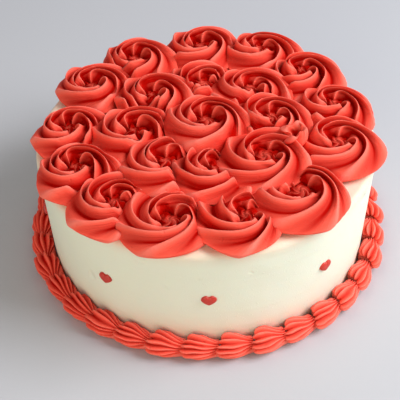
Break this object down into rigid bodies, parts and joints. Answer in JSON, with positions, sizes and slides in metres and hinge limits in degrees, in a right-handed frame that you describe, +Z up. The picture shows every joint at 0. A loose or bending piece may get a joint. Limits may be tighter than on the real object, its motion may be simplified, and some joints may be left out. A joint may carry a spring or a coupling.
{
  "type": "red velvet layer cake",
  "caption": "Round iced layer cake with a smooth cream wall, piped red rosettes over the whole top, a piped shell border round the foot and small heart sprinkles on the side.",
  "frame": {"origin": "middle of the cake's flat underside", "axes": "+Z up; -Y towards the side that the picture was taken from; +X to the right seen from there"},
  "size_m": [0.2329, 0.2326, 0.0975],
  "materials": {
    "cream_icing": "smooth, soft satin icing",
    "red_icing": "ridged, soft satin icing",
    "heart_sprinkles": "smooth, slightly glossy sugar"
  },
  "bodies": {
    "root": {"cake": "cream_icing", "rosette_rim_01": "red_icing", "rosette_rim_02": "red_icing", "rosette_rim_03": "red_icing", "rosette_rim_04": "red_icing", "rosette_rim_05": "red_icing", "rosette_rim_06": "red_icing", "rosette_rim_07": "red_icing", "rosette_rim_08": "red_icing", "rosette_rim_09": "red_icing", "rosette_rim_10": "red_icing", "rosette_rim_11": "red_icing", "rosette_rim_12": "red_icing", "rosette_rim_13": "red_icing", "rosette_ring_01": "red_icing", "rosette_ring_02": "red_icing", "rosette_ring_03": "red_icing", "rosette_ring_04": "red_icing", "rosette_ring_05": "red_icing", "rosette_ring_06": "red_icing", "rosette_ring_07": "red_icing", "rosette_ring_08": "red_icing", "rosette_middle_01": "red_icing", "curl": "red_icing", "shell_01": "red_icing", "shell_02": "red_icing", "shell_03": "red_icing", "shell_04": "red_icing", "shell_05": "red_icing", "shell_06": "red_icing", "shell_07": "red_icing", "shell_08": "red_icing", "shell_09": "red_icing", "shell_10": "red_icing", "shell_11": "red_icing", "shell_12": "red_icing", "shell_13": "red_icing", "shell_14": "red_icing", "shell_15": "red_icing", "shell_16": "red_icing", "shell_17": "red_icing", "shell_18": "red_icing", "shell_19": "red_icing", "shell_20": "red_icing", "shell_21": "red_icing", "shell_22": "red_icing", "shell_23": "red_icing", "shell_24": "red_icing", "shell_25": "red_icing", "shell_26": "red_icing", "shell_27": "red_icing", "shell_28": "red_icing", "shell_29": "red_icing", "shell_30": "red_icing", "shell_31": "red_icing", "shell_32": "red_icing", "shell_33": "red_icing", "shell_34": "red_icing"}
  },
  "joints": []
}
